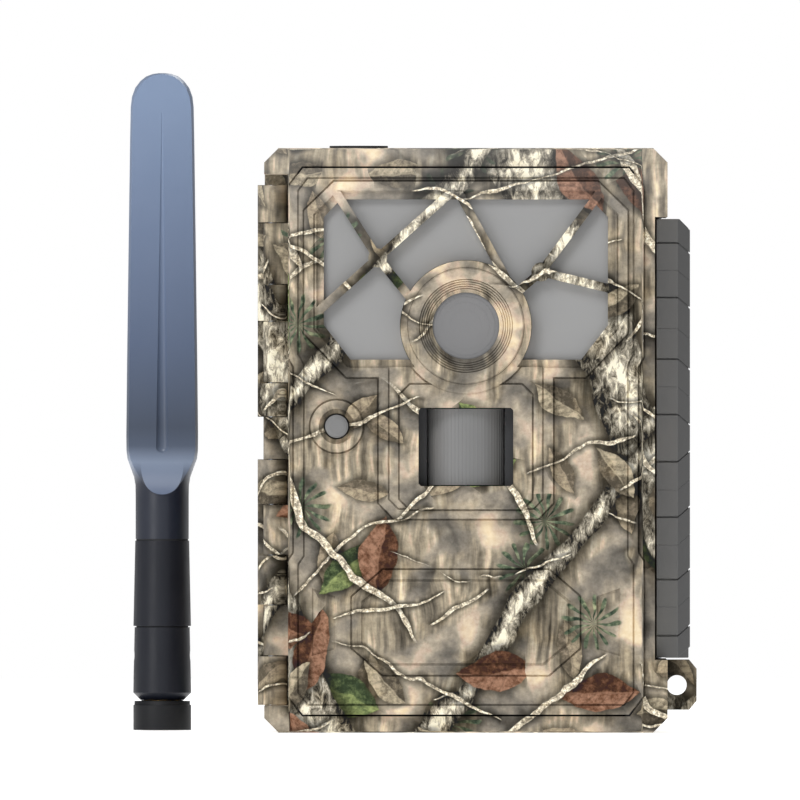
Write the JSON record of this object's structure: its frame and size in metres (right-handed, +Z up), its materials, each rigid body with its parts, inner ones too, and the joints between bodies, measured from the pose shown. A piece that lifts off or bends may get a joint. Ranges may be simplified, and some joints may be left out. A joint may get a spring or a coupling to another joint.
{
  "type": "trail camera",
  "caption": "Camouflaged cellular trail camera with hinged front cover, side latch, infrared window, motion sensor and a loose folding paddle antenna.",
  "frame": {"origin": "mouth of the tripod socket in the middle of the base", "axes": "+Z up, -Y towards the front of the camera, +X to the latch side"},
  "size_m": [0.1393, 0.0775, 0.1608],
  "materials": {
    "camo_shell": "printed camouflage film on moulded ABS, matt",
    "steel": "zinc plated",
    "black_rubber": "matt",
    "black_plastic": "fine moulded texture",
    "nickel_plate": "nickel plated spring steel",
    "cell_jacket": "printed shrink sleeve",
    "brass": "turned",
    "bracket_paint": "glass-filled nylon",
    "latch_grey": "moulded, fine texture",
    "window_smoke": "smoked acrylic",
    "lens_glass": "coated glass",
    "chip_black": "moulded",
    "circuit_board": "solder mask on glass epoxy",
    "lamp_epoxy": "clear epoxy",
    "pir_film": "ribbed polyethylene",
    "indicator_clear": "frosted acrylic",
    "tinned_steel": "tinned sheet",
    "display_glass": "display glass",
    "key_rubber": "silicone",
    "card_white": "moulded",
    "blade_blue": "satin moulded",
    "antenna_dark": "satin moulded",
    "sleeve_black": "moulded with grip ribs"
  },
  "bodies": {
    "case": {"rear_housing": "camo_shell", "hinge_pin": "steel", "case_seal": "black_rubber", "battery_tray": "black_plastic", "tray_screws": "steel", "battery_springs": "nickel_plate", "battery_contacts": "nickel_plate", "battery_cells": "cell_jacket", "tripod_insert": "brass", "tree_bracket": "bracket_paint", "bracket_screws": "steel", "power_jack": "black_plastic", "latch_pin": "steel"},
    "power_plug": {"power_jack_plug": "black_rubber"},
    "latch": {"latch": "latch_grey"},
    "cover": {"front_cover": "camo_shell", "ir_window": "window_smoke", "lens_bezel": "camo_shell", "lens_glass": "lens_glass", "lens_barrel": "black_plastic", "lens_elements": "lens_glass", "lens_holder": "black_plastic", "image_sensor": "chip_black", "sensor_board": "circuit_board", "ir_board": "circuit_board", "ir_lamps": "lamp_epoxy", "pir_lens": "pir_film", "pir_sensor": "tinned_steel", "pir_board": "circuit_board", "indicator_lens": "indicator_clear", "main_board": "circuit_board", "modem_shield": "tinned_steel", "display": "display_glass", "inner_panel": "black_plastic", "panel_screws": "steel", "key_switches": "black_plastic", "mode_switch": "tinned_steel", "card_socket": "tinned_steel", "sim_socket": "tinned_steel", "antenna_socket": "brass", "coax_lead": "black_plastic"},
    "filter": {"ir_cut_filter": "lens_glass"},
    "key_middle": {"key_middle": "key_rubber"},
    "key_up": {"key_up": "key_rubber"},
    "key_down": {"key_down": "key_rubber"},
    "key_right": {"key_right": "key_rubber"},
    "key_left": {"key_left": "key_rubber"},
    "mode_slider": {"mode_slider": "black_plastic"},
    "memory_card": {"memory_card": "chip_black"},
    "sim_card": {"sim_card": "card_white"},
    "port_cap": {"antenna_port_cap": "black_rubber"},
    "antenna_plug": {"antenna_plug": "brass"},
    "coupling_sleeve": {"coupling_sleeve": "sleeve_black"},
    "antenna_knuckle": {"antenna_knuckle": "antenna_dark", "fold_pin": "steel"},
    "antenna": {"antenna_blade": "blade_blue", "antenna_strip": "brass", "antenna_elbow": "antenna_dark"}
  },
  "joints": [
    {"name": "cover_hinge", "type": "hinge", "parent": "case", "child": "cover", "pos_m": [-0.0471, -0.012, 0.071], "axis": [0, 0, -1], "range_deg": [0, 120]},
    {"name": "latch_hinge", "type": "hinge", "parent": "case", "child": "latch", "pos_m": [0.0469, 0.003, 0.071], "axis": [0, 0, 1], "range_deg": [0, 90]},
    {"name": "power_plug_pull", "type": "slide", "parent": "case", "child": "power_plug", "axis": [0, 0, -1], "range_m": [0, 0.012]},
    {"name": "filter_slide", "type": "slide", "parent": "cover", "child": "filter", "axis": [1, 0, 0], "range_m": [0, 0.008]},
    {"name": "press_middle", "type": "slide", "parent": "cover", "child": "key_middle", "axis": [0, -1, 0], "range_m": [0, 0.0006], "stiffness_N_per_m": 1500, "springref_m": -0.0006},
    {"name": "press_up", "type": "slide", "parent": "cover", "child": "key_up", "axis": [0, -1, 0], "range_m": [0, 0.0006], "stiffness_N_per_m": 1500, "springref_m": -0.0006},
    {"name": "press_down", "type": "slide", "parent": "cover", "child": "key_down", "axis": [0, -1, 0], "range_m": [0, 0.0006], "stiffness_N_per_m": 1500, "springref_m": -0.0006},
    {"name": "press_right", "type": "slide", "parent": "cover", "child": "key_right", "axis": [0, -1, 0], "range_m": [0, 0.0006], "stiffness_N_per_m": 1500, "springref_m": -0.0006},
    {"name": "press_left", "type": "slide", "parent": "cover", "child": "key_left", "axis": [0, -1, 0], "range_m": [0, 0.0006], "stiffness_N_per_m": 1500, "springref_m": -0.0006},
    {"name": "mode_slide", "type": "slide", "parent": "cover", "child": "mode_slider", "axis": [0, 0, 1], "range_m": [-0.0025, 0.0025]},
    {"name": "memory_card_pull", "type": "slide", "parent": "cover", "child": "memory_card", "axis": [0, 0, -1], "range_m": [0, 0.01]},
    {"name": "sim_card_pull", "type": "slide", "parent": "cover", "child": "sim_card", "axis": [0, 0, -1], "range_m": [0, 0.009]},
    {"name": "port_cap_pull", "type": "slide", "parent": "cover", "child": "port_cap", "axis": [0, 0, 1], "range_m": [0, 0.015]},
    {"name": "antenna_lift", "type": "slide", "parent": "case", "child": "antenna_plug", "axis": [0, 0, 1], "range_m": [0, 0.04]},
    {"name": "sleeve_spin", "type": "hinge", "parent": "antenna_plug", "child": "coupling_sleeve", "pos_m": [-0.0742, 0.017, 0.0036], "axis": [0, 0, 1], "continuous": true},
    {"name": "antenna_swivel", "type": "hinge", "parent": "antenna_plug", "child": "antenna_knuckle", "pos_m": [-0.0742, 0.017, 0.012], "axis": [0, 0, 1], "range_deg": [-180, 90]},
    {"name": "antenna_fold", "type": "hinge", "parent": "antenna_knuckle", "child": "antenna", "pos_m": [-0.0742, 0.017, 0.0182], "axis": [-1, 0, 0], "range_deg": [0, 90]}
  ]
}
